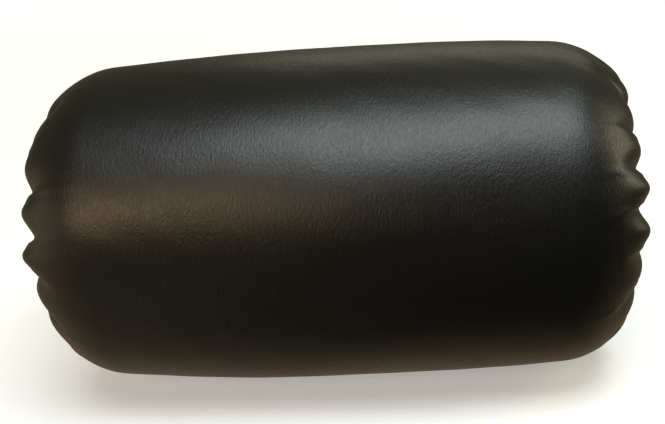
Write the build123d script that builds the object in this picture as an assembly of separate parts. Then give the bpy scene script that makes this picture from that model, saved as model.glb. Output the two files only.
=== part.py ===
from build123d import *

import os
from math import cos, radians, sin, sqrt, tan

# Bolster pillow for a massage table: a firm round roll in a gathered vinyl cover.
# The roll lies along X on its narrow flat, with its long seam and zip at the +Y side.
# Lengths are in millimetres.  Each piece is first built round the roll's own axis,
# taken as the X axis, and is lifted to stand on the floor when it is written.

# ---------------------------------------------------------------- driving dimensions
cover_diameter = 152.0  # over the vinyl
cover_length = 264.0  # over the puffed rims of both ends
rest_width = 30.0  # the flat that the roll settles on
vinyl = 0.9  # thickness of the cover material
shoulder_run = 26.0  # where the side starts to round over, before the rim
shoulder_drop = 26.0  # how far in from the side the rim's crest lies
rim_roundness = 18.0  # from the crest in towards the gathered end
dish_angle = 20.0  # slope of the gathered end, in towards the button
slack = 0.05  # between pieces that lie on each other
ease = 0.3  # between the cover and the lined core

# gathered hem round the hole in each end
hem_hole = 7.0  # radius left when the draw cord is pulled up
hem_radius = 17.0  # outside of the bunched folds
hem_thickness = 5.9
cord_diameter = 3.0
cord_ring = 12.0  # radius of the tied ring of cord
knot_radius = 1.9
knot_offset = 2.2  # the knot lies outside the ring by this much

# covered button, one at each end
button_radius = 19.0
button_height = 8.4
button_side = 3.2  # straight part of its side, below the dome
button_lip = 1.2  # vinyl turned up inside the shell
shell_wall = 0.5
plate_thickness = 0.8
prong_spread = 1.8  # from the button's axis to each prong
prong_width = 3.0
prong_thickness = 0.8
prong_reach = 9.0  # to the bent tips, from the button's axis
washer_radius = 12.0
washer_thickness = 1.2
washer_clearance = 0.4  # round the prongs

# lined core
liner = 0.4
wadding_side = 8.0  # between the foam and the liner, along the side
wadding_end = 2.4  # between the foam's end and the pressed-in hem
foam_rounding = 22.0
pad_overhang = 12.0  # how far each end pad turns over onto the foam's side
neck_radius = 4.0  # the tied mouth of the liner

# zip in the long seam
seam_angle = 32.0  # above the horizontal, at the back
zip_end_gap = 4.0  # from the end of the tapes to the shoulder
tape_tail = 7.0  # tape beyond the coils, at each end
tape_width = 15.0
tape_thickness = 0.5
slit = 1.6  # gap between the two turned edges of the seam
allowance = 10.0  # width of each turned edge
coil_width = 2.0
coil_height = 1.8
stop_length = 3.0
stop_wall = 0.35
slider_length = 8.0
slider_wall = 1.0
slider_clearance = 0.4
neck_clearance = 0.3  # each side of the neck, in the slit
neck_length = 3.4
lug_radius = 2.0
lug_width = 3.0
lug_clearance = 0.5  # above the vinyl
axle_radius = 0.7
axle_fit = 0.05  # radial, of the pull on its axle
axle_end = 0.5  # axle beyond each ear
ear_wall = 1.15  # round the axle hole
ear_width = 1.8
ear_gap = 0.4  # from the lug to each ear
pull_length = 26.0
pull_thickness = 1.2
pull_hole = 2.0

# ---------------------------------------------------------------- worked out from those
cover_radius = cover_diameter / 2
half_length = cover_length / 2
axis_height = sqrt(cover_radius**2 - (rest_width / 2) ** 2)
shoulder_start = half_length - shoulder_run
rim_radius = cover_radius - shoulder_drop
dish = radians(dish_angle)
reach = 2 * (cover_length + cover_diameter)  # longer than anything, for cutting


def dish_face(radius, depth=0.0):
    """X of the gathered end at a radius, taken in by a depth square to it."""
    tangent_x = half_length - rim_roundness + rim_roundness * cos(dish)
    tangent_radius = rim_radius - rim_roundness * sin(dish)
    return tangent_x - (tangent_radius - radius) * tan(dish) - depth / cos(dish)


button_seat = dish_face(button_radius) + slack
hem_face = button_seat - slack
hem_inside = hem_face - hem_thickness
cord_place = hem_inside + hem_thickness * 0.45
washer_face = hem_inside - slack
prong_face = washer_face - washer_thickness - slack
pocket_floor = prong_face - prong_thickness - ease
pocket_radius = hem_radius + ease

lining_depth = vinyl + ease
wadding_depth = lining_depth + liner + slack
foam_radius = cover_radius - wadding_depth - wadding_side
foam_half = pocket_floor - liner - slack - wadding_end
pad_joint = foam_half - pad_overhang

tape_top = cover_radius - 2 * vinyl - slack
tape_under = tape_top - tape_thickness
coil_top = tape_under - slack
coil_under = coil_top - coil_height
slider_floor = coil_under - slider_clearance
slider_under = slider_floor - slider_wall
flange_inside = slit / 2 + coil_width + slider_clearance
flange_outside = flange_inside + slider_wall
tape_half = shoulder_start - zip_end_gap
zip_half = tape_half - tape_tail
slider_rest = -zip_half + stop_length + ease + slider_length / 2
axle_place = cover_radius + lug_clearance + lug_radius
ear_radius = axle_radius + axle_fit + ear_wall
ear_start = lug_width / 2 + ear_gap
ear_end = ear_start + ear_width
shell_radius = button_radius - vinyl - 2 * slack
lip_outside = shell_radius - shell_wall - slack
lip_inside = lip_outside - vinyl


# ---------------------------------------------------------------- small shapes
def rod(radius, start, end):
    """A round bar along the roll's axis."""
    return Pos((start + end) / 2, 0, 0) * Rot(0, 90, 0) * Cylinder(radius, end - start)


def ring(outer, inner, start, end):
    """A flat-ended ring round the roll's axis."""
    return rod(outer, start, end) - rod(inner, start - 1, end + 1)


def block(x_span, y_span, z_span):
    """A box that fills three spans, each a low and a high value."""
    spans = (x_span, y_span, z_span)
    middle = [(low + high) / 2 for low, high in spans]
    size = [high - low for low, high in spans]
    return Pos(*middle) * Box(*size)


def strip(outer, inner, x_span, y_span):
    """A piece of tube wall at the top of the roll."""
    tube = ring(outer, inner, *x_span)
    return tube & block((x_span[0] - 1, x_span[1] + 1), y_span, (0, 2 * outer))


def at_seam(shape):
    """Turns what is built at the top of the roll round to the long seam."""
    return Rot(seam_angle - 90, 0, 0) * shape


def other_side(shape):
    """The mirror image across the zip's middle line, before it is turned round."""
    return mirror(shape, Plane.XZ)


def other_end(shape):
    """The mirror image at the left end."""
    return mirror(shape, Plane.YZ)


# ---------------------------------------------------------------- the stuffed shape
def roll(depth):
    """The whole roll taken in by a depth: straight side, round rims, dished ends."""
    over = EllipticalCenterArc(
        (shoulder_start, rim_radius), shoulder_run - depth, shoulder_drop - depth, 0, arc_size=90
    )
    into = CenterArc(
        (half_length - rim_roundness, rim_radius), rim_roundness - depth, 0, -dish_angle
    )
    apex = (dish_face(0, depth), 0)
    tangent = (
        half_length - rim_roundness + (rim_roundness - depth) * cos(dish),
        rim_radius - (rim_roundness - depth) * sin(dish),
    )
    half = over + into + Line(tangent, apex)
    side = Line((-shoulder_start, cover_radius - depth), (shoulder_start, cover_radius - depth))
    axis = Line((-apex[0], 0), apex)
    outline = side + half + mirror(half, Plane.YZ) + axis
    body = revolve(make_face(outline.edges()), Axis.X)
    return body - block((-reach, reach), (-reach, reach), (-reach, depth - axis_height))


def zip_channel(grow):
    """The dent that the zip presses into the lined core."""
    end = tape_half + ease + grow
    wide = slit / 2 + tape_width + ease + grow
    narrow = flange_outside + ease + grow
    tapes = block((-end, end), (-wide, wide), (tape_under - ease - grow - 2, cover_radius))
    slider = block((-end, end), (-narrow, narrow), (slider_under - ease - grow, cover_radius))
    return at_seam(tapes + slider)


def lined_space(depth, grow):
    """The room inside the cover, less what the hems and the zip take up."""
    pocket = rod(pocket_radius + grow, pocket_floor - grow, reach)
    return roll(depth) - zip_channel(grow) - pocket - other_end(pocket)


# ---------------------------------------------------------------- the lined core
def foam_core(depth=0.0):
    """Firm foam cylinder with rounded edges."""
    bar = rod(foam_radius + depth, -foam_half - depth, foam_half + depth)
    return fillet(bar.edges().filter_by(GeomType.CIRCLE), foam_rounding + depth)


def wadding():
    """Fibre wadding between the foam and the liner, as a wrap and two end pads."""
    padding = lined_space(wadding_depth, liner + slack) - foam_core(slack)
    every = (-reach, reach)
    wrap = padding & block((slack - pad_joint, pad_joint - slack), every, every)
    right_pad = padding & block((pad_joint, reach), every, every)
    return wrap, other_end(right_pad), right_pad


def core_liner():
    """Thin woven sock over the wadding, tied at a small mouth at each end."""
    inside = lined_space(lining_depth + liner, liner)
    return lined_space(lining_depth, 0) - inside - rod(neck_radius, -reach, reach)


# ---------------------------------------------------------------- the cover
def hem():
    """Bunched folds round the hole in the right end."""
    return ring(hem_radius, hem_hole, hem_inside, hem_face)


def cord_ring_shape(radius, knot):
    """The tied draw cord of the right end, or the channel for it."""
    loop = Pos(cord_place, 0, 0) * Rot(0, 90, 0) * Torus(cord_ring, radius)
    return loop + Pos(cord_place, 0, cord_ring + knot_offset) * Sphere(knot)


def cord_channel():
    """The tunnel in the hem, and the opening where the knot is pushed in."""
    tunnel = cord_ring_shape(cord_diameter / 2 + slack, knot_radius + slack)
    width = knot_radius + slack
    opening = block(
        (hem_inside - 1, cord_place),
        (-width, width),
        (cord_ring + knot_offset - width, cord_ring + knot_offset + width),
    )
    return tunnel + opening


def seam_slit():
    """The gap between the seam's turned edges, where the zip is."""
    end = zip_half + ease
    wall = (cover_radius - 3 * vinyl, cover_radius + 1)
    return at_seam(block((-end, end), (-slit / 2, slit / 2), wall))


def turned_edges():
    """The seam's two edges, turned back inside the cover for the tapes."""
    ends = (-tape_half, tape_half)
    sides = (slit / 2, slit / 2 + allowance)
    edge = strip(cover_radius - vinyl / 2, cover_radius - 2 * vinyl, ends, sides)
    return at_seam(edge + other_side(edge))


def cover_sleeve():
    """The vinyl tube with its long seam, gathered to a hole at each end."""
    hole = rod(hem_hole, 0, reach)
    channel = cord_channel()
    shell = roll(0) - roll(vinyl)
    shell = shell + turned_edges() - seam_slit()
    shell = shell + hem() + other_end(hem())
    return shell - hole - other_end(hole) - channel - other_end(channel)


def draw_cord():
    """Cord pulled up and knotted in the right end's hem."""
    return cord_ring_shape(cord_diameter / 2, knot_radius)


# ---------------------------------------------------------------- the end buttons
def dome(radius, start, side, top):
    """A domed button blank on the roll's axis: straight side, then part of a sphere."""
    rise = top - side
    sphere = (radius**2 + rise**2) / (2 * rise)
    halfway = start + top - sphere + sqrt(sphere**2 - (radius / 2) ** 2)
    crown = ThreePointArc((start + side, radius), (halfway, radius / 2), (start + top, 0))
    outline = Line((start, 0), (start, radius)) + Line((start, radius), (start + side, radius))
    outline = outline + crown + Line((start + top, 0), (start, 0))
    return revolve(make_face(outline.edges()), Axis.X)


def button_cover():
    """Vinyl drawn over the shell, turned under its edge and up inside."""
    skin = dome(button_radius, button_seat, button_side, button_height)
    skin = skin - dome(
        shell_radius + slack, button_seat + vinyl, button_side - vinyl, button_height - 2 * vinyl
    )
    skin = skin - rod(lip_inside, button_seat - 1, button_seat + vinyl + 0.1)
    lip = ring(lip_outside, lip_inside, button_seat + vinyl / 2, button_seat + vinyl + button_lip)
    return skin + lip


def button_shell():
    """Thin domed metal shell."""
    under = vinyl + slack
    start = button_seat + under
    side = button_side - under
    height = button_height - 2 * vinyl - 3 * slack
    outside = dome(shell_radius, start, side, height)
    return outside - dome(shell_radius - shell_wall, start - 1, side + 1, height - shell_wall + 1)


def button_back():
    """Plate that closes the shell, with two prongs bent over the washer."""
    plate = rod(lip_inside - slack, button_seat, button_seat + plate_thickness)
    sides = (-prong_width / 2, prong_width / 2)
    leg_top = prong_spread + prong_thickness
    bent = prong_face - prong_thickness
    leg = block((bent, button_seat + plate_thickness / 2), sides, (prong_spread, leg_top))
    foot = block((bent, prong_face), sides, (prong_spread, prong_reach))
    prong = leg + foot
    return plate + prong + mirror(prong, Plane.XY)


def button_washer():
    """Washer inside the cover, over the gathered hem."""
    corner = sqrt((prong_spread + prong_thickness) ** 2 + (prong_width / 2) ** 2)
    hole = corner + washer_clearance
    return ring(washer_radius, hole, washer_face - washer_thickness, washer_face)


# ---------------------------------------------------------------- the zip
def zip_tape():
    """Woven tape sewn under one turned edge."""
    ends = (-tape_half, tape_half)
    return strip(tape_top, tape_under, ends, (slit / 2, slit / 2 + tape_width))


def zip_coil():
    """Nylon coil along one tape's edge, as a plain bar of its outer size."""
    ends = (-zip_half, zip_half)
    return strip(coil_top, coil_under, ends, (slit / 2, slit / 2 + coil_width))


def stop_clip(low, high):
    """Metal clip crimped up round what lies between two widths."""
    ends = (0, stop_length)
    outside = strip(
        tape_under - slack,
        coil_under - slack - stop_wall,
        ends,
        (low - slack - stop_wall, high + slack + stop_wall),
    )
    wide = (low - slack, high + slack)
    inside = strip(tape_under + 1, coil_under - slack, (-1, stop_length + 1), wide)
    return outside - inside


def zip_bottom_stop():
    """One clip across both coils, at the end that stays joined."""
    clip = stop_clip(-slit / 2 - coil_width, slit / 2 + coil_width)
    return Pos(zip_half - stop_length, 0, 0) * clip


def zip_top_stop():
    """A clip on one coil, at the end that the slider closes against."""
    return Pos(-zip_half, 0, 0) * stop_clip(slit / 2, slit / 2 + coil_width)


def zip_slider():
    """Slider under the coils, with its neck up through the slit and an axle on top."""
    ends = (-slider_length / 2, slider_length / 2)
    floor = block(ends, (-flange_outside, flange_outside), (slider_under, slider_floor))
    flange = strip(
        tape_under - slider_clearance, slider_floor, ends, (flange_inside, flange_outside)
    )
    neck_half = slit / 2 - neck_clearance
    neck = block(
        (-neck_length / 2, neck_length / 2), (-neck_half, neck_half), (slider_under, axle_place)
    )
    lug = Rot(90, 0, 0) * Cylinder(lug_radius, lug_width)
    axle = Rot(90, 0, 0) * Cylinder(axle_radius, 2 * (ear_end + axle_end))
    body = floor + flange + other_side(flange) + neck + Pos(0, 0, axle_place) * (lug + axle)
    return Pos(slider_rest, 0, 0) * body


def zip_pull():
    """Flat pull with two ears on the axle and a hole near its round end."""
    under = -ear_radius
    over = under + pull_thickness
    plate_start = lug_radius + ear_gap
    tip = pull_length - ear_end
    plate = block((plate_start, tip), (-ear_end, ear_end), (under, over))
    plate = plate + Pos(tip, 0, (under + over) / 2) * Cylinder(ear_end, pull_thickness)
    ear = Pos(0, (ear_start + ear_end) / 2, 0) * Rot(90, 0, 0) * Cylinder(ear_radius, ear_width)
    arm = block((0, plate_start + ear_width), (ear_start, ear_end), (under, over))
    side = ear + arm
    pull = plate + side + other_side(side)
    pull = pull - Rot(90, 0, 0) * Cylinder(axle_radius + axle_fit, 2 * ear_end + 1)
    pull = pull - Pos(tip, 0, (under + over) / 2) * Cylinder(pull_hole, pull_thickness + 1)
    return Pos(slider_rest, 0, axle_place) * pull


# ---------------------------------------------------------------- the assembly
def all_pieces():
    """Every piece by name, round the roll's axis."""
    wrap, left_pad, right_pad = wadding()
    pieces = {
        "foam_core": foam_core(),
        "batting_wrap": wrap,
        "left_end_pad": left_pad,
        "right_end_pad": right_pad,
        "core_liner": core_liner(),
        "cover_sleeve": cover_sleeve(),
        "zip_tape_upper": at_seam(other_side(zip_tape())),
        "zip_tape_lower": at_seam(zip_tape()),
        "zip_coil_upper": at_seam(other_side(zip_coil())),
        "zip_coil_lower": at_seam(zip_coil()),
        "zip_bottom_stop": at_seam(zip_bottom_stop()),
        "zip_top_stop_upper": at_seam(other_side(zip_top_stop())),
        "zip_top_stop_lower": at_seam(zip_top_stop()),
        "zip_slider": at_seam(zip_slider()),
        "zip_pull": at_seam(zip_pull()),
    }
    end_pieces = {
        "draw_cord": draw_cord(),
        "button_cover": button_cover(),
        "button_shell": button_shell(),
        "button_back": button_back(),
        "button_washer": button_washer(),
    }
    for name, shape in end_pieces.items():
        pieces["right_" + name] = shape
        pieces["left_" + name] = other_end(shape)
    return pieces


os.makedirs("parts", exist_ok=True)
for name, shape in all_pieces().items():
    export_step(Pos(0, 0, axis_height) * shape, "parts/" + name + ".step")
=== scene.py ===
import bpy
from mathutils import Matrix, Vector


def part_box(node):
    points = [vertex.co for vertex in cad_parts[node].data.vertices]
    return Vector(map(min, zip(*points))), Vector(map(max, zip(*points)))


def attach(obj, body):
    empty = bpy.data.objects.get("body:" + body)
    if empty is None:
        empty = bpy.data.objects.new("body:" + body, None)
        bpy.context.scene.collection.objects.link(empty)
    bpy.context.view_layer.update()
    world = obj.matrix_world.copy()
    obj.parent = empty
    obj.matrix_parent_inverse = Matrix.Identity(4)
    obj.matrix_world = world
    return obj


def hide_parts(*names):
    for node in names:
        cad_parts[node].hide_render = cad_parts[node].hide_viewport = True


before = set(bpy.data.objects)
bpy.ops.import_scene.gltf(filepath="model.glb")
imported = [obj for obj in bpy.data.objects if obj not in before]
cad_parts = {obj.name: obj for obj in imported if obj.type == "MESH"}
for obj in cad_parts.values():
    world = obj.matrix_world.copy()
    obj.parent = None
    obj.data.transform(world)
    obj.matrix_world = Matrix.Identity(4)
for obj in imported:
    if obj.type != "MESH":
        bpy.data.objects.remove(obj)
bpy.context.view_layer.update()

import math

import bmesh
import bpy
import numpy as np
from mathutils import Quaternion, Vector

scene = bpy.context.scene

# ---- Cover -----------------------------------------------------------------
# A tube of black polyurethane leather with one long seam, which is at the back.
# Its ends are pulled up on a cord, so the leather puffs over each rim in about
# twenty uneven gathers that run out on the side and sink in towards the button.
roll_axis = 0.0745  # height of the roll's axis over the floor
roll_radius = 0.0760
half_length = 0.1318
crown = 0.0061  # how much slimmer the roll would be at its ends
shoulder_run = 0.034
shoulder_drop = 0.026
shoulder_powers = (0.85, 1.16)  # eases out of the side, and is flatter than an ellipse
rim_roundness = 0.018
dish_slope = math.radians(20)
hole_radius = 0.0145
hem_in = 0.0045  # how far the hem goes into the hole
hem_down = 0.0062  # and towards the axis
under_taper = (0.008, 0.005)  # how much shorter the left and right ends are underneath
leather = 0.0009
seam_angle = math.radians(148)  # from the front, over the top
slit = 0.0016
slit_half = 0.0953
turned_columns = 7  # columns in each edge that is turned back at the seam
columns = 284
crease_run = 0.03  # no crease comes nearer to the roll's middle
fold_seed = 23


def profile_points():
    """Half of the roll's outline, from its middle to the hem inside the hole."""
    points = [(x, roll_radius) for x in np.linspace(0, half_length - shoulder_run, 60)]
    rim_radius = roll_radius - shoulder_drop
    for turn in np.linspace(0, math.pi / 2, 60)[1:]:
        x = half_length - shoulder_run + shoulder_run * math.sin(turn) ** shoulder_powers[0]
        points.append((x, rim_radius + shoulder_drop * abs(math.cos(turn)) ** shoulder_powers[1]))
    for turn in np.linspace(0, dish_slope, 20)[1:]:
        x = half_length - rim_roundness + rim_roundness * math.cos(turn)
        points.append((x, rim_radius - rim_roundness * math.sin(turn)))
    end_x, end_r = points[-1]
    for radius in np.linspace(end_r, hole_radius, 50)[1:]:
        points.append((end_x - (end_r - radius) * math.tan(dish_slope), radius))
    hem_x = points[-1][0]
    for turn in np.linspace(0, 1, 12)[1:]:
        radius = hole_radius - hem_down * math.sin(turn * math.pi / 2)
        points.append((hem_x - hem_in * turn**1.5, radius))
    return np.array(points)


# A run is a distance over the leather from the roll's middle.  The rows are close
# together at the shoulders and over the ends, where the gathers are.
outline = profile_points()
outline_run = np.concatenate([[0], np.cumsum(np.linalg.norm(np.diff(outline, axis=0), axis=1))])
side_run = half_length - shoulder_run
rim_run = outline_run[np.argmax(outline[:, 0])]
hem_run = outline_run[-1]
close_run = 0.034
past_rim = 0.010
row_parts = [
    np.linspace(0, side_run - close_run, 14),
    np.linspace(side_run - close_run, side_run, 15)[1:],
    np.linspace(side_run, rim_run + past_rim, 34)[1:],
    np.linspace(rim_run + past_rim, hem_run, 20)[1:],
]
half_rows = np.concatenate(row_parts)
rows = np.concatenate([-half_rows[:0:-1], half_rows])

# The front gathers of each end, as degrees up from the front, depth in mm and how far
# they run on to the side in mm.  The rest follow at random, about 17 degrees apart.
left_front_folds = (
    (-57, 2.6, 22), (-38, 3.4, 24), (-20, 4.2, 28), (-1, 5.2, 30), (16, 6.0, 26),
    (37, 5.2, 30), (60, 1.6, 20), (80, 4.4, 34), (104, 2.6, 20),
)
right_front_folds = (
    (-46, 3.8, 28), (-21, 3.6, 28), (-3, 3.0, 22), (17, 4.2, 24),
    (35, 4.6, 26), (52, 4.0, 24), (72, 4.6, 32), (92, 4.6, 32),
)
fold_spacing = math.radians(17)
# Puffs of leather between the front gathers, as degrees and height in mm.
left_puffs = ((28, 1.4), (8, 1.4), (-10, 1.0), (48, 0.8))
right_puffs = ((26, 1.3), (7, 2.2))


def folds_of_end(front, puffs, seed):
    """Where the creases lie, how deep each is, how far it runs on the side, which way
    it leans, and which of its two edges is the sharp one."""
    rng = np.random.default_rng(seed)
    angles = [math.radians(degrees) for degrees, depth, run in front]
    depths = [depth / 1000 for degrees, depth, run in front]
    reach = [run / 1000 for degrees, depth, run in front]
    left_over = 2 * math.pi - (angles[-1] - angles[0])
    count = round(left_over / fold_spacing) - 1
    gaps = rng.uniform(0.75, 1.25, count + 1)
    for step in np.cumsum(gaps / gaps.sum() * left_over)[:count]:
        angles.append(angles[len(front) - 1] + step)
        depths.append(rng.uniform(0.0014, 0.0048))
        reach.append(rng.uniform(0.016, 0.030))
    count = len(angles)
    lean = rng.uniform(-0.10, 0.10, count)
    hand = rng.choice([-1.0, 1.0], count)
    return np.array(angles), np.array(depths), reach, lean, hand, puffs


end_folds = (
    folds_of_end(left_front_folds, left_puffs, fold_seed),
    folds_of_end(right_front_folds, right_puffs, fold_seed + 1),
)


def crease_field(angle, run, folds):
    """How far one row is drawn in at each angle by the creases, and pushed out by the
    thin ridges that stand beside them."""
    end_run, end_slope, end_depth = 0.05, 0.16, 0.008  # all creases are alike near the hole
    fade_run = 0.012
    sharpness = 2.2
    puff_width, puff_run = 0.10, 0.012
    angles, depths, reach, lean, hand, puffs = folds
    count = len(angles)
    radius = np.interp(run, outline_run, outline[:, 1])
    past = max(0.0, run - rim_run)
    room = 0.36 * 2 * math.pi / count * radius
    blunt = 0.0011 / radius
    total = np.zeros_like(angle)
    for k in range(count):
        start = rim_run - reach[k]
        grow = np.clip((run - start) / (rim_run - 0.001 - start), 0, 1)
        grow = grow * grow * (3 - 2 * grow)
        longer = np.clip((run - start + 0.8 * reach[k]) / (1.6 * reach[k]), 0, 1)
        centre = angles[k] + lean[k] * (1 - longer) * 1.6
        before = (angles[k] - angles[k - 1]) % (2 * math.pi)
        after = (angles[(k + 1) % count] - angles[k]) % (2 * math.pi)
        turn = ((angle - centre + math.pi) % (2 * math.pi) - math.pi) * hand[k]
        wide = before if hand[k] < 0 else after
        other = after if hand[k] < 0 else before
        far = np.sqrt(turn**2 + blunt**2) - blunt
        gentle = np.clip(1 - far / (wide * (0.6 + 0.4 * grow)), 0, 1) ** sharpness
        steep = np.clip(1 - far / (other * 0.62), 0, 1) ** sharpness
        near = np.where(turn > 0, gentle, steep)
        fade = np.exp(-past / fade_run)
        ridge = np.exp(-(((turn + 2.2 * blunt) / (1.1 * blunt)) ** 2)) * (0.0003 + 0.10 * depths[k])
        deep = depths[k] * (1 - past / end_run) + end_slope * past if past < end_run else end_depth
        total += min(deep, room) * grow * near - ridge * longer**1.5 * fade
    for degrees, height in puffs:
        turn = (angle - math.radians(degrees) + math.pi) % (2 * math.pi) - math.pi
        total -= height / 1000 * np.exp(-((turn / puff_width) ** 2) - ((run - rim_run) / puff_run) ** 2)
    return total


def cover_points():
    """The gathered cover as rows along the roll and columns round it."""
    nudge = 0.0008  # half of the step that a row's slope is taken over
    seam_calm = 0.36  # radians from the seam within which the leather lies flat
    ripples = ((0.00022, 3, 40), (0.00012, 7, -60))  # height, waves round, lean along
    fine_ripple = 0.00004
    closed_gap = 0.0001  # half the seam's width past the slit's ends
    slack = 0.0004  # how far the leather lies inside its outline
    points = np.zeros((len(rows), columns + 1, 3))
    for i, signed in enumerate(rows):
        run = abs(signed)
        x = np.interp(run, outline_run, outline[:, 0])
        radius = np.interp(run, outline_run, outline[:, 1])
        ends = np.clip([run - nudge, run + nudge], 0, hem_run)
        along_x, along_r = np.diff([np.interp(ends, outline_run, outline[:, k]) for k in (0, 1)])[:, 0]
        size = math.hypot(along_x, along_r)
        out_x, out_r = -along_r / size, along_x / size
        gap = slit / 2 if run < slit_half else closed_gap
        half_gap = (gap + leather) / radius
        angle = seam_angle + half_gap + np.linspace(0, 1, columns + 1) * (2 * math.pi - 2 * half_gap)
        from_seam = np.minimum(angle - seam_angle, seam_angle + 2 * math.pi - angle)
        soft = 1 - np.exp(-((from_seam / seam_calm) ** 2))
        share = np.clip((radius - 0.050) / 0.026, 0, 1)
        slim = crown * (x / half_length) ** 2 * share * share * (3 - 2 * share)
        ripple = sum(height * np.sin(waves * angle + lean * signed) for height, waves, lean in ripples)
        ripple += fine_ripple * np.sin(23 * angle + 210 * signed + 2 * np.sin(5 * angle))
        ripple = (ripple - slack) * min(1.0, (hem_run - run) / 0.03)
        deep = crease_field(angle, run, end_folds[int(signed > 0)]) if run > crease_run else 0 * angle
        deep = deep * min(1.0, (hem_run - run) / 0.012)
        out = ripple * soft - slim * soft - deep * (0.35 + 0.65 * soft)
        r = radius + out_r * out
        under = np.clip(-np.sin(angle - 0.15), 0, 1)
        x = x - under_taper[int(signed > 0)] * under * (run / hem_run) ** 3
        points[i, :, 0] = (1 if signed >= 0 else -1) * (x + out_x * out)
        points[i, :, 1] = -np.cos(angle) * r
        points[i, :, 2] = np.sin(angle) * r + roll_axis
    return points


def settle(points, lowest=0.0):
    """Presses what would be under the floor into a narrow flat with soft edges."""
    edge = 0.0010
    low = (points[..., 2] - lowest) / edge
    pressed = lowest + edge * np.log1p(np.exp(np.clip(low, -30, 30)))
    points[..., 2] = np.where(low > 4, points[..., 2], pressed)
    return points


def grid_mesh(name, points, ring_closed=False, flip=False, around_scale=None, along_scale=None):
    """A smooth mesh on rows and columns of points, with a UV map in metres."""
    count, across = points.shape[:2]
    mesh = bpy.data.meshes.new(name)
    faces = []
    corners = []
    for i in range(count - 1):
        for j in range(across if ring_closed else across - 1):
            k = (j + 1) % across
            face = [i * across + j, i * across + k, (i + 1) * across + k, (i + 1) * across + j]
            spots = [(i, j), (i, j + 1), (i + 1, j + 1), (i + 1, j)]
            faces.append(face[::-1] if flip else face)
            corners.extend(spots[::-1] if flip else spots)
    mesh.from_pydata(points.reshape(-1, 3).tolist(), [], faces)
    corners = np.array(corners)
    if around_scale is None:
        u = np.arange(across + 1) * 0.001
    else:
        u = np.append(around_scale, 2 * around_scale[-1] - around_scale[-2])
    v = np.arange(count) * 0.001 if along_scale is None else along_scale
    uv = mesh.uv_layers.new(name="metres")
    uv.data.foreach_set("uv", np.stack([u[corners[:, 1]], v[corners[:, 0]]], axis=1).reshape(-1))
    mesh.polygons.foreach_set("use_smooth", np.ones(len(faces), dtype=bool))
    piece = bpy.data.objects.new(name, mesh)
    scene.collection.objects.link(piece)
    return piece


def puff_out(points, held, frames=10, cap=0.0022):
    """Lets the filling press the leather outwards between the places that are held."""
    piece = grid_mesh("leather_being_filled", points)
    group = piece.vertex_groups.new(name="held")
    for index, weight in enumerate(held.reshape(-1)):
        group.add([index], float(weight), "REPLACE")
    cloth = piece.modifiers.new("leather", "CLOTH")
    settings = cloth.settings
    settings.quality = 5
    settings.mass = 0.5
    settings.tension_stiffness = 60
    settings.compression_stiffness = 30
    settings.shear_stiffness = 20
    settings.bending_stiffness = 2
    settings.air_damping = 4
    settings.use_pressure = True
    settings.uniform_pressure_force = 4
    settings.vertex_group_mass = "held"
    settings.pin_stiffness = 4
    settings.effector_weights.gravity = 0
    cloth.collision_settings.use_collision = False
    cloth.point_cache.frame_start = 1
    cloth.point_cache.frame_end = frames
    for number in range(1, frames + 1):
        scene.frame_set(number)
    filled = bpy.data.meshes.new_from_object(piece.evaluated_get(bpy.context.evaluated_depsgraph_get()))
    places = np.zeros(len(filled.vertices) * 3)
    filled.vertices.foreach_get("co", places)
    bpy.data.objects.remove(piece)
    scene.frame_set(1)
    moved = places.reshape(points.shape) - points
    far = np.linalg.norm(moved, axis=-1, keepdims=True)
    return points + moved * np.minimum(1, cap / np.maximum(far, 1e-9))


def held_places(points):
    """The hem, the seam's edges, the resting flat, the long side and, loosely, the creases."""
    usual_depth = 0.0042
    held = np.zeros(points.shape[:2])
    angle = seam_angle + np.linspace(0, 1, columns + 1) * 2 * math.pi
    for i, signed in enumerate(rows):
        run = abs(signed)
        if run > crease_run:
            deep = crease_field(angle, run, end_folds[int(signed > 0)]) / usual_depth
            held[i] = 0.8 * np.clip(deep - 0.25, 0, 0.5) / 0.5
        held[i] = np.maximum(held[i], 0.9 * np.clip((side_run + 0.004 - run) / 0.016, 0, 1))
        if run > hem_run - 0.010:
            held[i] = 1
    held[:, :3] = 1
    held[:, -3:] = 1
    held[points[:, :, 2] < 0.0012] = 1
    return held


cover_grid = settle(cover_points())
cover_grid = settle(puff_out(cover_grid, held_places(cover_grid)))


def outward(points):
    """Outward directions of a grid of points."""
    along = np.gradient(points, axis=0)
    across = np.gradient(points, axis=1)
    normal = np.cross(across, along)
    normal /= np.maximum(np.linalg.norm(normal, axis=-1, keepdims=True), 1e-12)
    middle = points[len(points) // 2, points.shape[1] // 2] - np.array([0, 0, roll_axis])
    return normal if np.dot(normal[len(points) // 2, points.shape[1] // 2], middle) > 0 else -normal


def with_turned_edges(points):
    """Adds the seam's two edges, each turned back under the leather."""
    normal = outward(points)
    sides = []
    for edge, inner, steady in ((0, 1, 2), (-1, -2, -5)):
        n = normal[:, steady]
        away = points[:, inner] - points[:, edge]
        away /= np.linalg.norm(away, axis=-1, keepdims=True)
        centre = points[:, edge] - n * leather
        fold = [centre + leather * (n * math.cos(b) - away * math.sin(b)) for b in (0.8, 1.57, 2.35, 3.14)]
        for k in range(1, turned_columns + 1):
            column = k if edge == 0 else -1 - k
            fold.append(points[:, column] - normal[:, column] * (2 * leather))
        sides.append(fold)
    first = sides[0][::-1]
    return np.stack(first + [points[:, j] for j in range(points.shape[1])] + sides[1], axis=1)


edged = with_turned_edges(cover_grid)
reach_around = (np.arange(edged.shape[1]) / columns) * 2 * math.pi * roll_radius
cover = grid_mesh("cover_sleeve_leather", edged, flip=True, around_scale=reach_around, along_scale=rows)
wall = cover.modifiers.new("leather_thickness", "SOLIDIFY")
wall.thickness = leather
wall.offset = -1


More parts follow.
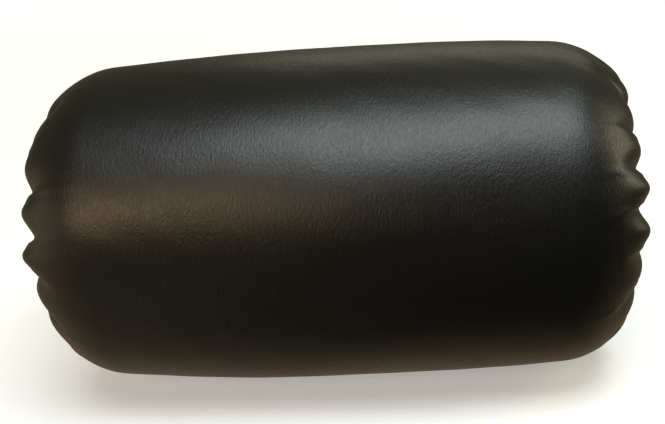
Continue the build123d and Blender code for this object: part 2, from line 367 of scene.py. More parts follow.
def hex_colour(code):
    """An sRGB hex colour as linear red, green, blue, alpha."""
    parts = [int(code[i : i + 2], 16) / 255 for i in (0, 2, 4)]
    return tuple(c / 12.92 if c <= 0.04045 else ((c + 0.055) / 1.055) ** 2.4 for c in parts) + (1.0,)


def add(tree, kind, settings=None, links=None):
    """One node, with its settings and what is linked to its inputs."""
    node = tree.nodes.new(kind)
    for key, value in (settings or {}).items():
        if isinstance(key, int) or key in node.inputs:
            node.inputs[key].default_value = value
        else:
            setattr(node, key, value)
    for key, source in (links or {}).items():
        tree.links.new(source, node.inputs[key])
    return node


def new_material(name, **sockets):
    """An empty node material with its shader, whose constant sockets are set here."""
    material = bpy.data.materials.new(name)
    material.use_nodes = True
    tree = material.node_tree
    tree.nodes.clear()
    settings = {key.replace("_", " "): value for key, value in sockets.items()}
    shader = add(tree, "ShaderNodeBsdfPrincipled", settings)
    add(tree, "ShaderNodeOutputMaterial", links={"Surface": shader.outputs[0]})
    return material, tree, shader


def surface(tree, shader, shades, shade_by, rough=None, relief=None):
    """Gives a surface two shades, led by one pattern.  rough is a pattern and the two
    roughnesses it goes between, and relief a pattern, its strength and its depth."""
    colours = {"data_type": "RGBA", 6: hex_colour(shades[0]), 7: hex_colour(shades[1])}
    tone = add(tree, "ShaderNodeMix", colours, {"Factor": shade_by})
    tree.links.new(tone.outputs[2], shader.inputs["Base Color"])
    if rough:
        span = add(tree, "ShaderNodeMapRange", {"To Min": rough[1], "To Max": rough[2]}, {"Value": rough[0]})
        tree.links.new(span.outputs[0], shader.inputs["Roughness"])
    if relief:
        depth = {"Strength": relief[1], "Distance": relief[2]}
        bump = add(tree, "ShaderNodeBump", depth, {"Height": relief[0]})
        tree.links.new(bump.outputs[0], shader.inputs["Normal"])


leather_shades = ("060605", "0C0C09")


def pu_leather():
    """Polyurethane leather: a black film cast on grained paper, on a knitted backing.
    Soft semi-gloss with fine wrinkles 1 mm apart that run round the roll and wander."""
    material, tree, shader = new_material("black_polyurethane_leather", IOR=1.5)
    place = add(tree, "ShaderNodeUVMap", {"uv_map": "metres"}).outputs[0]
    bend = add(tree, "ShaderNodeTexNoise", {"Scale": 38.0, "Detail": 2.0}, {"Vector": place}).outputs["Color"]
    centred = add(tree, "ShaderNodeVectorMath", {"operation": "SUBTRACT", 1: (0.5, 0.5, 0.5)}, {0: bend})
    pull = {"operation": "MULTIPLY", 1: (0.004, 0.016, 0.0)}
    pulled = add(tree, "ShaderNodeVectorMath", pull, {0: centred.outputs[0]})
    both = {0: place, 1: pulled.outputs[0]}
    wandered = add(tree, "ShaderNodeVectorMath", {"operation": "ADD"}, both).outputs[0]
    stretched = add(tree, "ShaderNodeMapping", {"Scale": (0.36, 1.0, 1.0)}, {"Vector": wandered}).outputs[0]
    wrinkled = {"Scale": 1080.0, "Detail": 3.0, "Roughness": 0.55, "Distortion": 0.6}
    wrinkle = add(tree, "ShaderNodeTexNoise", wrinkled, {"Vector": stretched}).outputs["Fac"]
    pebbled = {"feature": "SMOOTH_F1", "Scale": 1100.0, "Smoothness": 0.6}
    pebble = add(tree, "ShaderNodeTexVoronoi", pebbled, {"Vector": wandered}).outputs["Distance"]
    height = add(tree, "ShaderNodeMath", {"operation": "MULTIPLY_ADD", 1: -0.35}, {0: pebble, 2: wrinkle})
    surface(tree, shader, leather_shades, wrinkle, relief=(height.outputs[0], 0.55, 0.0002))
    glossy_tops = {"From Min": 0.3, "From Max": 0.7, "To Min": 0.44, "To Max": 0.34}
    rough = add(tree, "ShaderNodeMapRange", glossy_tops, {"Value": wrinkle})
    tree.links.new(rough.outputs[0], shader.inputs["Roughness"])
    return material


cover.data.materials.append(pu_leather())
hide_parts("cover_sleeve")
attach(cover, "cover")

# ---- Lined core ------------------------------------------------------------
# Firm polyurethane foam, wrapped in polyester wadding that is turned over at both
# ends, in a thin non-woven sock.  It is pushed into the cover through the zip.
foam_low, foam_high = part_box("foam_core")
foam_half = foam_high[0]
foam_radius = (foam_high[1] - foam_low[1]) / 2
foam_rounding = 0.022
pad_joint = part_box("right_end_pad")[0][0]
pocket_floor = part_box("right_button_back")[0][0] - 0.0003  # where the buttons' back plates press
pocket_radius = 0.0120
core_end_rounding = 0.0135  # how much shorter than the cover's shoulder the core's is
lining = 0.0004
room = 0.0006  # left free between two layers


def uneven(points, size, much, seed):
    """Moves points in and out by smooth random waves of about one size."""
    rng = np.random.default_rng(seed)
    total = np.zeros(points.shape[:-1])
    for _ in range(9):
        way = rng.normal(size=3)
        way *= rng.uniform(0.7, 1.5) / size / np.linalg.norm(way)
        total += np.sin(points @ way * 2 * math.pi + rng.uniform(0, 6.28))
    centre = np.array([0, 0, roll_axis])
    out = points - centre
    out[..., 0] *= 0.3
    out /= np.maximum(np.linalg.norm(out, axis=-1, keepdims=True), 1e-6)
    return points + out * (total / 4 * much)[..., None]


def tidy_mesh(piece):
    """Merges doubled points, closes poles and turns every face outwards."""
    shape = bmesh.new()
    shape.from_mesh(piece.data)
    bmesh.ops.remove_doubles(shape, verts=shape.verts, dist=0.000005)
    bmesh.ops.dissolve_degenerate(shape, edges=shape.edges, dist=0.000001)
    holes = [edge for edge in shape.edges if len(edge.link_faces) == 1]
    if holes:
        bmesh.ops.holes_fill(shape, edges=holes)
    bmesh.ops.recalc_face_normals(shape, faces=shape.faces)
    shape.to_mesh(piece.data)
    shape.free()
    return piece


def lathe(name, profile, loop=False, size=0.02, much=0.0, seed=1, lowest=0.0):
    """A turned piece from (x, radius) points, made uneven, with closed poles."""
    round_columns = 144
    profile = np.array(profile)
    if loop:
        profile = np.vstack([profile, profile[:1]])
    turn = np.linspace(0, 2 * math.pi, round_columns, endpoint=False)
    points = np.zeros((len(profile), round_columns, 3))
    points[:, :, 0] = profile[:, :1]
    points[:, :, 1] = -np.cos(turn) * profile[:, 1:]
    points[:, :, 2] = np.sin(turn) * profile[:, 1:] + roll_axis
    points = uneven(points, size, much, seed) if much else points
    points = settle(points, lowest)
    return tidy_mesh(grid_mesh(name, points, ring_closed=True))


def quarter(centre_x, centre_r, run, drop, count=14):
    """Points round a rounded edge, from the side to the end."""
    turns = np.linspace(0, math.pi / 2, count)
    return [(centre_x + run * math.sin(t), centre_r + drop * math.cos(t)) for t in turns]


def spaced(start, end, count):
    """Evenly spaced points on a straight part of a profile, without its last one."""
    return [tuple(np.array(start) + (np.array(end) - np.array(start)) * k / count) for k in range(count)]


def both_ways(right):
    """A whole profile from its right half, which starts at the middle."""
    return [(-x, r) for x, r in right[:0:-1]] + right


def core_outline(depth):
    """The outside of the filling at one end, taken in by a depth below the leather."""
    run = shoulder_run - depth
    side = roll_radius - 0.65 * crown - 0.001 - depth
    points = spaced((0.0, side), (side_run, side), 24)
    end_radius = roll_radius - shoulder_drop - 0.004
    pocket_x = pocket_floor - 0.0005
    points += quarter(side_run, end_radius, run - core_end_rounding, side - 0.046, 16)
    points += spaced(points[-1], (pocket_x, 0.0200), 10)[1:]
    return points + [(pocket_x, 0.0185)]


foam_edge = quarter(foam_half - foam_rounding, foam_radius - foam_rounding, foam_rounding, foam_rounding)
foam_side = spaced((0, foam_radius), (foam_half - foam_rounding, foam_radius), 20)
foam_face = spaced((foam_half, foam_radius - foam_rounding), (foam_half, 0), 12)[1:] + [(foam_half, 0)]
foam_profile = both_ways(foam_side + foam_edge + foam_face)
foam_piece = lathe("foam_core_cut_foam", foam_profile, size=0.03, much=0.00025, seed=3, lowest=foam_low[2])


def cut_foam():
    """Open-cell polyurethane foam, hot-wire cut: pale, matt, with 0.8 mm cells."""
    material, tree, shader = new_material("cut_polyurethane_foam", Roughness=0.95)
    place = add(tree, "ShaderNodeTexCoord").outputs["Object"]
    cells = add(tree, "ShaderNodeTexVoronoi", {"Scale": 1200.0}, {"Vector": place}).outputs["Distance"]
    cloud = add(tree, "ShaderNodeTexNoise", {"Scale": 25.0}, {"Vector": place}).outputs["Fac"]
    surface(tree, shader, ("E4D9B0", "D2C08C"), cloud, relief=(cells, 0.6, 0.0004))
    return material


foam_piece.data.materials.append(cut_foam())
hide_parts("foam_core")
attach(foam_piece, "cover")

wadding_outside = core_outline(leather + 0.0003 + lining + 0.0003)
wrap_side = [p for p in wadding_outside if p[0] < pad_joint - room]
wrap_right = wrap_side + [(pad_joint - room, wrap_side[-1][1])]
wrap_bore = foam_radius + room
wrap_inside = spaced((pad_joint - room, wrap_bore), (-pad_joint + room, wrap_bore), 30)
wrap_loop = both_ways(wrap_right) + wrap_inside + [(-pad_joint + room, wrap_bore)]
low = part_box("batting_wrap")[0][2]
wrap_piece = lathe("batting_wrap_wadding", wrap_loop, loop=True, size=0.022, much=0.00022, seed=5, lowest=low)
pad_out = [(pad_joint, wrap_side[-1][1])] + [p for p in wadding_outside if p[0] > pad_joint]
pad_pocket = pocket_floor - 0.0010
pad_out += [(pad_pocket, pocket_radius), (pad_pocket, 0.0)]
over = foam_rounding + room
over_edge = quarter(foam_half - foam_rounding, foam_radius - foam_rounding, over, over)
pad_in = [(foam_half + room, 0.0)] + [p for p in over_edge[::-1] if p[0] > pad_joint]
pad_in += [(pad_joint, pad_in[-1][1] + 0.001)]


def polyester_wadding():
    """Polyester wadding: white crimped fibres, matt, with loose tufts 3 mm across."""
    material, tree, shader = new_material("polyester_wadding", Roughness=0.9, Sheen_Weight=0.3)
    place = add(tree, "ShaderNodeTexCoord").outputs["Object"]
    crimped = {"Scale": 330.0, "Detail": 6.0, "Roughness": 0.7, "Distortion": 2.5}
    fibre = add(tree, "ShaderNodeTexNoise", crimped, {"Vector": place}).outputs["Fac"]
    surface(tree, shader, ("DCDCD8", "F4F4F2"), fibre, relief=(fibre, 0.8, 0.0015))
    return material


wadding = polyester_wadding()
wadded = []
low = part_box("right_end_pad")[0][2]
for side, way in (("left", -1), ("right", 1)):
    pad_loop = [(way * x, r) for x, r in pad_out + pad_in]
    pad = lathe(side + "_end_pad_wadding", pad_loop, loop=True, size=0.016, much=0.0003, seed=7, lowest=low)
    wadded.append((pad, side + "_end_pad"))
wadded.append((wrap_piece, "batting_wrap"))
for piece, node in wadded:
    piece.data.materials.append(wadding)
    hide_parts(node)
    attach(piece, "cover")

# ---- Liner -----------------------------------------------------------------
# A sock of thin spun-bonded polypropylene that holds the wadding to the foam.  It is
# cut as one sheet, sewn into a tube, and gathered flat under the buttons at both ends.
liner_end = [(pocket_floor, pocket_radius), (pocket_floor, 0.0045)]
liner_profile = both_ways(core_outline(leather + lining) + liner_end)
liner_piece = lathe("core_liner_sock", liner_profile, lowest=0.0015)
thin = liner_piece.modifiers.new("cloth_thickness", "SOLIDIFY")
thin.thickness = lining
thin.offset = -1


def lining_cloth():
    """Spun-bonded polypropylene: thin charcoal cloth pressed in a 1.6 mm dimple grid."""
    material, tree, shader = new_material("spun_bonded_lining", Roughness=0.8)
    place = add(tree, "ShaderNodeTexCoord").outputs["Object"]
    grid = {"Scale": 620.0, "Randomness": 0.15}
    dimples = add(tree, "ShaderNodeTexVoronoi", grid, {"Vector": place}).outputs["Distance"]
    webbed = {"Scale": 700.0, "Detail": 5.0, "Distortion": 1.5}
    fibres = add(tree, "ShaderNodeTexNoise", webbed, {"Vector": place}).outputs["Fac"]
    surface(tree, shader, ("2A2A2B", "3A3A3B"), fibres, relief=(dimples, 0.5, 0.0003))
    return material


liner_piece.data.materials.append(lining_cloth())
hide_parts("core_liner")
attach(liner_piece, "cover")

# ---- Zip -------------------------------------------------------------------
# A nylon coil zip sewn under the seam's two turned edges.  Two polyester tapes carry
# a coil each, and a die-cast zinc slider with a pull closes them from stop to stop.
seam_out = np.array([0.0, -math.cos(seam_angle), math.sin(seam_angle)])
seam_up = np.array([0.0, math.sin(seam_angle), math.cos(seam_angle)])
coil_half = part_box("zip_coil_upper")[1][0]
coil_width = 0.0020
coil_height = 0.0018
coil_under = 0.0718  # from the roll's axis to the coil's underside
coil_apart = 0.00052  # from the zip's middle to each coil
coil_wire = 0.00023  # radius
wire_in = 0.00024  # keeps the wire inside the coil's width and height
core_radius = 0.00040
tape_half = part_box("zip_tape_upper")[1][0]
tape_radius = (0.07365, 0.07415)
tape_middle = 0.0739
tape_width = 0.0150


def at_seam(x, across, height):
    """A point at the seam: along the roll, across the slit, and out from the axis."""
    return np.array([x, 0.0, roll_axis]) + seam_up * across + seam_out * height


def new_tree(name, inputs):
    """A Geometry Nodes tree with named number inputs, and those inputs' sockets."""
    tree = bpy.data.node_groups.new(name, "GeometryNodeTree")
    for label, value in inputs.items():
        socket = tree.interface.new_socket(name=label, in_out="INPUT", socket_type="NodeSocketFloat")
        socket.default_value = value
    tree.interface.new_socket(name="Geometry", in_out="OUTPUT", socket_type="NodeSocketGeometry")
    return tree, add(tree, "NodeGroupInput").outputs


def end_tree(tree, shape, material):
    """Makes a tree's shape real, gives it its material and passes it on."""
    real = add(tree, "GeometryNodeRealizeInstances", {}, {"Geometry": shape})
    coated = add(tree, "GeometryNodeSetMaterial", {"Material": material}, {"Geometry": real.outputs[0]})
    add(tree, "NodeGroupOutput", {}, {"Geometry": coated.outputs[0]})


def grown(name, tree, sizes, place):
    """Runs a tree with the sizes given, and returns its result as a plain, placed mesh."""
    seed = bpy.data.objects.new(name + "_seed", bpy.data.meshes.new(name + "_seed"))
    scene.collection.objects.link(seed)
    modifier = seed.modifiers.new("grow", "NODES")
    modifier.node_group = tree
    for item in tree.interface.items_tree:
        if item.in_out == "INPUT" and item.name in sizes:
            modifier[item.identifier] = sizes[item.name]
    seed.update_tag()
    shape = bpy.data.meshes.new_from_object(seed.evaluated_get(bpy.context.evaluated_depsgraph_get()))
    bpy.data.objects.remove(seed)
    piece = bpy.data.objects.new(name, shape)
    scene.collection.objects.link(piece)
    flat = np.zeros(len(shape.vertices) * 3)
    shape.vertices.foreach_get("co", flat)
    flat = flat.reshape(-1, 3)
    x, across, height = place
    local = flat[:, :1] * np.array([1.0, 0, 0]) + flat[:, 1:2] * seam_up + flat[:, 2:3] * seam_out
    shape.vertices.foreach_set("co", (local + at_seam(x, across, height)).reshape(-1))
    shape.polygons.foreach_set("use_smooth", np.ones(len(shape.polygons), dtype=bool))
    shape.name = name
    return tidy_mesh(piece)


def nylon_coil():
    """Nylon 66 monofilament, drawn and coiled: smooth, black, slightly glossy."""
    black = hex_colour("101012")
    material, tree, shader = new_material("black_nylon_monofilament", IOR=1.53, Base_Color=black)
    place = add(tree, "ShaderNodeTexCoord").outputs["Object"]
    haze = add(tree, "ShaderNodeTexNoise", {"Scale": 1500.0}, {"Vector": place})
    rough = add(tree, "ShaderNodeMapRange", {"To Min": 0.25, "To Max": 0.42}, {"Value": haze.outputs["Fac"]})
    tree.links.new(rough.outputs[0], shader.inputs["Roughness"])
    return material


# The coil is an oval spiral of wire, laid along the roll, round a straight core cord.
coil_sizes = {"Length": 0.19, "Turns": 150.0, "Width": coil_width, "Height": coil_height, "Wire": coil_wire}
coil_tree, given = new_tree("zip_coil", coil_sizes)
turned_wire = {"Rotations": given["Turns"], "Height": given["Length"]}
spiral_shape = {"Resolution": 12, "Start Radius": 1.0, "End Radius": 1.0}
spiral = add(coil_tree, "GeometryNodeCurveSpiral", spiral_shape, turned_wire)
half_less = {"operation": "MULTIPLY_ADD", 1: 0.5, 2: -wire_in}
half_width = add(coil_tree, "ShaderNodeMath", half_less, {0: given["Width"]})
half_height = add(coil_tree, "ShaderNodeMath", half_less, {0: given["Height"]})
oval_sizes = {"X": half_width.outputs[0], "Y": half_height.outputs[0]}
oval = add(coil_tree, "ShaderNodeCombineXYZ", {"Z": 1.0}, oval_sizes)
pressed = {"Geometry": spiral.outputs[0], "Scale": oval.outputs[0]}
upright = add(coil_tree, "GeometryNodeTransform", {}, pressed).outputs[0]
lying = {"Rotation": (0.0, math.radians(90), 0.0)}
laid = add(coil_tree, "GeometryNodeTransform", lying, {"Geometry": upright}).outputs[0]
wire = add(coil_tree, "GeometryNodeCurvePrimitiveCircle", {"Resolution": 6}, {"Radius": given["Wire"]})
capped = {"Fill Caps": True}
coiled = add(coil_tree, "GeometryNodeCurveToMesh", capped, {"Curve": laid, "Profile Curve": wire.outputs[0]})
far_end = add(coil_tree, "ShaderNodeCombineXYZ", {}, {"X": given["Length"]}).outputs[0]
core_line = add(coil_tree, "GeometryNodeCurvePrimitiveLine", {}, {"End": far_end}).outputs[0]
core_shape = {"Resolution": 10, "Radius": core_radius}
core_ring = add(coil_tree, "GeometryNodeCurvePrimitiveCircle", core_shape).outputs[0]
core_curves = {"Curve": core_line, "Profile Curve": core_ring}
core_cord = add(coil_tree, "GeometryNodeCurveToMesh", capped, core_curves)
together = add(coil_tree, "GeometryNodeJoinGeometry")
coil_tree.links.new(core_cord.outputs[0], together.inputs[0])
coil_tree.links.new(coiled.outputs[0], together.inputs[0])
end_tree(coil_tree, together.outputs[0], nylon_coil())


def woven_tape():
    """Polyester zip tape: black, woven in a 0.6 mm twill, matt with a faint sheen."""
    material, tree, shader = new_material("woven_polyester_tape", Roughness=0.85, Sheen_Weight=0.2)
    place = add(tree, "ShaderNodeTexCoord").outputs["Object"]
    slant = {"Rotation": (0.0, 0.0, math.radians(35))}
    turned = add(tree, "ShaderNodeMapping", slant, {"Vector": place}).outputs[0]
    ribbed = {"Scale": 520.0, "Distortion": 0.6, "Detail": 1.0}
    twill = add(tree, "ShaderNodeTexWave", ribbed, {"Vector": turned}).outputs["Fac"]
    surface(tree, shader, ("0C0C0D", "232325"), twill, relief=(twill, 0.6, 0.0002))
    return material


def tape_strip(name, hand):
    """One tape, curved like the roll, with a thin edge beside the coil."""
    inner, outer = tape_radius
    lift = 0.00004
    last = 25
    spots = [slit / 2 + 0.00005 + tape_width * k / 12 for k in range(13)]
    section = [(across, outer - lift * math.cos(across * 9000)) for across in spots]
    section += [(across, inner + lift * math.cos(across * 7000)) for across in spots[::-1]]
    section = [(across - (0.0001 if k in (0, last) else 0.0), r) for k, (across, r) in enumerate(section)]
    xs = np.linspace(-tape_half, tape_half, 90)
    points = np.zeros((len(xs), len(section), 3))
    for i, x in enumerate(xs):
        for j, (across, radius) in enumerate(section):
            turn = across / tape_middle
            drawn = 0.00006 * math.sin(x * 900 + across * 300)
            height = math.cos(turn) * (radius - 0.00005) + drawn * 0.5
            points[i, j] = at_seam(x, hand * math.sin(turn) * radius, height)
    return tidy_mesh(grid_mesh(name, points, ring_closed=True))


tape_cloth = woven_tape()
coil_middle = coil_apart + coil_width / 2
coil_centre = coil_under + coil_height / 2 - 0.00004
for name, hand in (("upper", 1), ("lower", -1)):
    start = (-coil_half + 0.0003, hand * coil_middle, coil_centre)
    coil = grown("zip_coil_" + name + "_nylon", coil_tree, {"Length": 2 * coil_half - 0.0006}, start)
    tape = tape_strip("zip_tape_" + name + "_woven", hand)
    tape.data.materials.append(tape_cloth)
    for piece, kind in ((coil, "zip_coil"), (tape, "zip_tape")):
        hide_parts(kind + "_" + name)
        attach(piece, "cover")


def lacquered_zinc():
    """Die-cast zinc, barrel-polished and lacquered black: glossy, worn in small spots."""
    material, tree, shader = new_material(
        "black_lacquered_zinc", Metallic=0.8, Coat_Weight=0.35, Coat_Roughness=0.18
    )
    place = add(tree, "ShaderNodeTexCoord").outputs["Object"]
    worn = add(tree, "ShaderNodeTexNoise", {"Scale": 900.0, "Detail": 4.0}, {"Vector": place}).outputs["Fac"]
    spotted = {"From Min": 0.55, "From Max": 0.75, "To Max": 0.14}
    spots = add(tree, "ShaderNodeMapRange", spotted, {"Value": worn}).outputs[0]
    surface(tree, shader, ("141416", "6E6C68"), spots, (worn, 0.25, 0.45), (worn, 0.15, 0.0001))
    return material


zip_metal = lacquered_zinc()
for node in ("zip_slider", "zip_pull", "zip_bottom_stop", "zip_top_stop_upper", "zip_top_stop_lower"):
    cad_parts[node].data.materials.clear()
    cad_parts[node].data.materials.append(zip_metal)

# ---- Topstitch -------------------------------------------------------------
# Black bonded polyester thread, 0.45 mm thick, a stitch every 3.2 mm.  It holds the
# turned edges down on the zip tapes, in one row along each side of the slit.
stitch_length = 0.0024
stitch_step = 0.0032
thread = 0.00022  # radius
stitch_beside = 0.0052  # from the middle of the slit
stitch_run = 0.1984


def polyester_thread():
    """Bonded polyester thread: black, twisted from three plies, slightly shiny."""
    material, tree, shader = new_material("bonded_polyester_thread", Roughness=0.55, Sheen_Weight=0.2)
    place = add(tree, "ShaderNodeTexCoord").outputs["Object"]
    slant = {"Rotation": (0.0, math.radians(40), 0.0)}
    turned = add(tree, "ShaderNodeMapping", slant, {"Vector": place}).outputs[0]
    plies = add(tree, "ShaderNodeTexWave", {"Scale": 900.0}, {"Vector": turned}).outputs["Fac"]
    surface(tree, shader, ("0A0A0B", "2B2B2D"), plies, relief=(plies, 0.7, 0.00012))
    return material


# A stitch is an arch of thread whose two feet are in the leather.
stitch_sizes = {"Run": 0.204, "Step": stitch_step, "Stitch": stitch_length, "Thread": thread}
stitch_tree, given = new_tree("stitch_row", stitch_sizes)
count = add(stitch_tree, "ShaderNodeMath", {"operation": "DIVIDE"}, {0: given["Run"], 1: given["Step"]})
apart = add(stitch_tree, "ShaderNodeCombineXYZ", {}, {"X": given["Step"]})
row_points = {"Count": count.outputs[0], "Offset": apart.outputs[0]}
line = add(stitch_tree, "GeometryNodeMeshLine", {}, row_points)
arch_points = {}
for end, stitches, threads in (("Start", -0.5, -1.6), ("Middle", 0.0, 2.2), ("End", 0.5, -1.6)):
    along = add(stitch_tree, "ShaderNodeMath", {"operation": "MULTIPLY", 1: stitches}, {0: given["Stitch"]})
    up = add(stitch_tree, "ShaderNodeMath", {"operation": "MULTIPLY", 1: threads}, {0: given["Thread"]})
    spot = add(stitch_tree, "ShaderNodeCombineXYZ", {}, {"X": along.outputs[0], "Z": up.outputs[0]})
    arch_points[end] = spot.outputs[0]
arch = add(stitch_tree, "GeometryNodeCurveQuadraticBezier", {"Resolution": 8}, arch_points)
ring = add(stitch_tree, "GeometryNodeCurvePrimitiveCircle", {"Resolution": 8}, {"Radius": given["Thread"]})
round_arch = {"Curve": arch.outputs[0], "Profile Curve": ring.outputs[0]}
stitch = add(stitch_tree, "GeometryNodeCurveToMesh", capped, round_arch)
repeated = {"Points": line.outputs[0], "Instance": stitch.outputs[0]}
stitch_row = add(stitch_tree, "GeometryNodeInstanceOnPoints", {}, repeated)
end_tree(stitch_tree, stitch_row.outputs[0], polyester_thread())
stitch_height = math.sqrt(roll_radius**2 - stitch_beside**2)
for name, hand in (("upper", 1), ("lower", -1)):
    start = (-0.0976, hand * stitch_beside, stitch_height)
    row = grown("topstitch_" + name, stitch_tree, {"Run": stitch_run}, start)
    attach(row, "cover")

# ---- Buttons ---------------------------------------------------------------
# A covered button closes the gathered hole at each end: leather drawn over a pressed
# tinplate shell, and a back plate whose two prongs pass through the hole and are bent
# over a nylon washer inside the cover.
cap_side = 0.0032  # height of a button's straight side
cap_leather = 0.0008
tuck_radius = (0.0164, 0.0174)  # the leather's cut edge, tucked in under the shell
puckers = 15
pucker_depth = 0.00022


def cap_profile(height, radius):
    """The leather over one button, as (height over its seat, radius) points."""
    rise = height - cap_side
    ball = (radius**2 + rise**2) / (2 * rise)
    profile = [(0.0029, tuck_radius[0]), (0.0004, tuck_radius[0]), (0.0000, 0.0168)]
    profile += [(0.0000, radius - 0.0009), (0.0004, radius - 0.0002)]
    profile += [(x, radius) for x in np.linspace(0.0010, cap_side - 0.0008, 5)]
    for r in np.linspace(radius - 0.0001, 0.0, 22):
        profile.append((cap_side - 0.0002 + math.sqrt(ball**2 - r**2) - (ball - rise), r))
    inner = [(max(x - cap_leather, 0.0009), r - cap_leather) for x, r in profile[5:] if r > 0.001]
    profile += [(height - 0.0010, 0.0)] + inner[::-1]
    return profile + [(0.0011, tuck_radius[1]), (0.0029, tuck_radius[1])]


def button_cap(name, node, way):
    """The leather over one button, domed, with small puckers round its edge."""
    low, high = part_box(node)
    seat, top = (low[0], high[0]) if way > 0 else (high[0], low[0])
    radius = (high[1] - low[1]) / 2 - 0.0001
    profile = cap_profile(abs(top - seat), radius)
    turns = 144
    turn = np.linspace(0, 2 * math.pi, turns, endpoint=False)
    points = np.zeros((len(profile) + 1, turns, 3))
    for i, (x, r) in enumerate(profile + profile[:1]):
        edge = math.exp(-(((r - radius) / 0.0030) ** 2)) * (1 if x > 0.0002 else 0.3)
        wave = np.abs(np.sin(turn * puckers + 0.6 * np.sin(turn * 4))) ** 0.6 - 0.8
        pucker = pucker_depth * edge * wave
        points[i, :, 0] = seat + way * (x + 0.5 * pucker)
        points[i, :, 1] = -np.cos(turn) * (r + pucker)
        points[i, :, 2] = np.sin(turn) * (r + pucker) + roll_axis
    around = np.arange(turns) / turns * 2 * math.pi * radius
    along = np.arange(len(points)) * 0.0009
    return tidy_mesh(grid_mesh(name, points, ring_closed=True, around_scale=around, along_scale=along))


def button_leather():
    """The same polyurethane leather, cut for the buttons and drawn tight."""
    material, tree, shader = new_material("button_polyurethane_leather", IOR=1.5)
    place = add(tree, "ShaderNodeTexCoord").outputs["Object"]
    wrinkled = {"Scale": 700.0, "Detail": 3.0, "Roughness": 0.55, "Distortion": 0.6}
    wrinkle = add(tree, "ShaderNodeTexNoise", wrinkled, {"Vector": place}).outputs["Fac"]
    surface(tree, shader, leather_shades, wrinkle, (wrinkle, 0.50, 0.38), (wrinkle, 0.45, 0.0002))
    return material


def pressed_tinplate():
    """Tinplate: thin cold-rolled steel, tinned and pressed, bright with fine drawing lines."""
    material, tree, shader = new_material("pressed_tinplate", Metallic=1.0)
    place = add(tree, "ShaderNodeTexCoord").outputs["Object"]
    drawn = add(tree, "ShaderNodeMapping", {"Scale": (1.0, 1.0, 9.0)}, {"Vector": place}).outputs[0]
    scratched = {"Scale": 300.0, "Detail": 5.0}
    lines = add(tree, "ShaderNodeTexNoise", scratched, {"Vector": drawn}).outputs["Fac"]
    surface(tree, shader, ("A9A8A4", "CFCDC6"), lines, (lines, 0.22, 0.42))
    return material


def moulded_nylon():
    """Injection-moulded black nylon 6: satin, with faint flow marks."""
    material, tree, shader = new_material("moulded_nylon", IOR=1.53)
    place = add(tree, "ShaderNodeTexCoord").outputs["Object"]
    marked = {"Scale": 180.0, "Distortion": 1.5}
    flow = add(tree, "ShaderNodeTexNoise", marked, {"Vector": place}).outputs["Fac"]
    surface(tree, shader, ("17171A", "232327"), flow, (flow, 0.35, 0.55))
    return material


def braided_cord():
    """Braided polyester cord, 3 mm thick: matt black strands that cross every 1.3 mm."""
    material, tree, shader = new_material("braided_polyester_cord", Roughness=0.75, Sheen_Weight=0.2)
    place = add(tree, "ShaderNodeTexCoord").outputs["Object"]
    crossed = {"feature": "DISTANCE_TO_EDGE", "Scale": 750.0, "Randomness": 0.25}
    strands = add(tree, "ShaderNodeTexVoronoi", crossed, {"Vector": place}).outputs["Distance"]
    surface(tree, shader, ("0B0B0C", "2A2A2C"), strands, relief=(strands, 0.8, 0.0003))
    return material


button_finish = button_leather()
tinplate = pressed_tinplate()
inner_finishes = {
    "_button_shell": tinplate,
    "_button_back": tinplate,
    "_button_washer": moulded_nylon(),
    "_draw_cord": braided_cord(),
}
for side, way in (("left", -1), ("right", 1)):
    cap = button_cap(side + "_button_cover_leather", side + "_button_cover", way)
    cap.data.materials.append(button_finish)
    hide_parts(side + "_button_cover")
    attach(cap, "cover")
    for part, material in inner_finishes.items():
        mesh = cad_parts[side + part].data
        mesh.materials.clear()
        mesh.materials.append(material)

# ---- Room ------------------------------------------------------------------
# A plain pale floor that glows as painted light, dimmer near the roll and brighter away from it, and soft
# studio light.  What the leather mirrors is a dim room, with a warm left side, brown walls behind, and pale
# boards below them.
floor_half = 8
floor_mesh = bpy.data.meshes.new("floor")
corners = [(-floor_half, -floor_half, 0), (floor_half, -floor_half, 0), (floor_half, floor_half, 0)]
floor_mesh.from_pydata(corners + [(-floor_half, floor_half, 0)], [], [(0, 1, 2, 3)])
floor = bpy.data.objects.new("floor", floor_mesh)
scene.collection.objects.link(floor)
card, card_tree, card_shader = new_material(
    "glowing_white_card", Roughness=0.8, Emission_Color=hex_colour("FFFFFF")
)
card_place = add(card_tree, "ShaderNodeTexCoord").outputs["Object"]
speckle = add(card_tree, "ShaderNodeTexNoise", {"Scale": 30.0}).outputs["Fac"]
surface(card_tree, card_shader, ("F2F2F2", "F7F7F7"), speckle)
# The floor's glow is painted light: it is dimmer near the roll and grows brighter away from it.
away = add(card_tree, "ShaderNodeVectorMath", {"operation": "LENGTH"}, {0: card_place}).outputs["Value"]
brighter_away = {"From Min": 0.3, "From Max": 1.3, "To Min": 0.34, "To Max": 0.80}
glow = add(card_tree, "ShaderNodeMapRange", brighter_away, {"Value": away})
card_tree.links.new(glow.outputs[0], card_shader.inputs["Emission Strength"])
floor_mesh.materials.append(card)
floor.visible_glossy = False

studio = bpy.data.worlds.new("studio")
scene.world = studio
studio.use_nodes = True
tree = studio.node_tree
tree.nodes.clear()

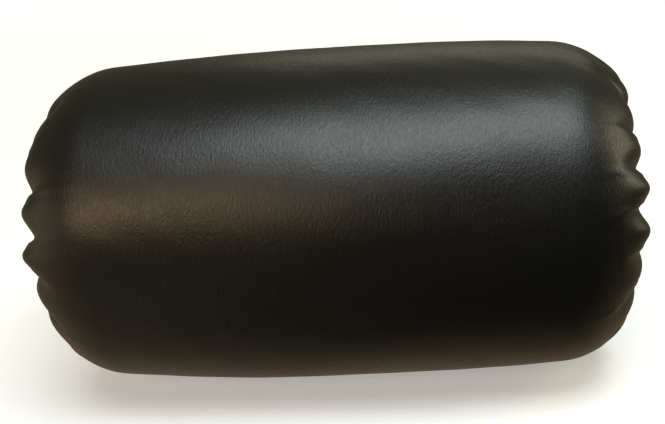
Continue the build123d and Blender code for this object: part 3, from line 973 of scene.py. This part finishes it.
# The room's colours are each laid over the one before, on the directions that lie
# between two values of an axis, or of two axes.
front_colour = hex_colour("1E1D17")
room_colours = (
    ("8A7A5E", (("X", -0.15, -0.9),)),
    ("968E72", (("Y", -0.3, 0.4),)),
    ("D8C09A", (("Y", -0.3, 0.4), ("Z", 0.0, -0.4))),
    ("DCC6A2", (("X", -0.19, -0.34), ("Z", 0.0, -0.3))),
)
direction = add(tree, "ShaderNodeTexCoord").outputs["Generated"]
facing = add(tree, "ShaderNodeSeparateXYZ", links={0: direction}).outputs
room_tint = None
for colour, spans in room_colours:
    share = None
    for axis, start, full in spans:
        span = add(tree, "ShaderNodeMapRange", {"From Min": start, "From Max": full}, {"Value": facing[axis]})
        if share is None:
            share = span
        else:
            both = {0: share.outputs[0], 1: span.outputs[0]}
            share = add(tree, "ShaderNodeMath", {"operation": "MULTIPLY"}, both)
    over = {"data_type": "RGBA", 6: front_colour, 7: hex_colour(colour)}
    mix = add(tree, "ShaderNodeMix", over, {"Factor": share.outputs[0]})
    if room_tint is not None:
        tree.links.new(room_tint, mix.inputs[6])
    room_tint = mix.outputs[2]
seen = add(tree, "ShaderNodeLightPath").outputs["Is Camera Ray"]
walls = add(tree, "ShaderNodeBackground", {"Strength": 0.55}, {"Color": room_tint})
backdrop = add(tree, "ShaderNodeBackground", {"Color": hex_colour("F7F8FA"), "Strength": 0.95})
either = add(tree, "ShaderNodeMixShader", links={0: seen, 1: walls.outputs[0], 2: backdrop.outputs[0]})
add(tree, "ShaderNodeOutputWorld", links={"Surface": either.outputs[0]})
middle = (0.0, 0.0, roll_axis)


def softbox(name, where, size, power, colour):
    """A large rectangular soft light aimed at the roll's middle."""
    lamp = bpy.data.lights.new(name, "AREA")
    lamp.shape = "RECTANGLE"
    lamp.size, lamp.size_y = size
    lamp.energy = power
    lamp.color = hex_colour(colour)[:3]
    holder = bpy.data.objects.new(name, lamp)
    holder.location = where
    holder.rotation_euler = (Vector(middle) - Vector(where)).to_track_quat("-Z", "Y").to_euler()
    scene.collection.objects.link(holder)


scene.view_settings.view_transform = "Standard"
softbox("overhead", (0.16, -0.36, 1.10), (1.00, 0.56), 13.3, "E9F3F4")
softbox("front_left_card", (-0.62, -1.12, 0.72), (0.66, 0.44), 5.4, "FFDCA8")
softbox("left_wall", (-1.2, -0.25, 0.20), (0.9, 0.6), 1.4, "FFE6C2")
softbox("right_rim", (1.1, 0.10, 0.50), (0.4, 0.6), 4.0, "EFE6C4")
softbox("back_rim", (0.3, 1.3, 0.9), (1.2, 0.4), 2.5, "EAE8D2")

eye_turn = math.radians(6.1)
eye_rise = math.radians(22)
eye_distance = 0.480
axis_tilt = math.radians(2.66)
aim_shift = (-0.0021, -0.0004, 0)
camera_data = bpy.data.cameras.new("camera")
camera = bpy.data.objects.new("camera", camera_data)
scene.collection.objects.link(camera)
camera_data.sensor_width = 36
camera_data.lens = 55.8
camera_data.clip_start = 0.01
level = math.cos(eye_rise)
back = Vector((math.sin(eye_turn) * level, -math.cos(eye_turn) * level, math.sin(eye_rise)))
level_tilt = math.atan2(-math.sin(eye_rise) * math.sin(eye_turn), math.cos(eye_turn))
look = (-back).to_track_quat("-Z", "Y") @ Quaternion((0, 0, 1), level_tilt - axis_tilt)
camera.rotation_mode = "QUATERNION"
camera.rotation_quaternion = look
camera.location = Vector(middle) + back * eye_distance + look @ Vector(aim_shift)
scene.camera = camera
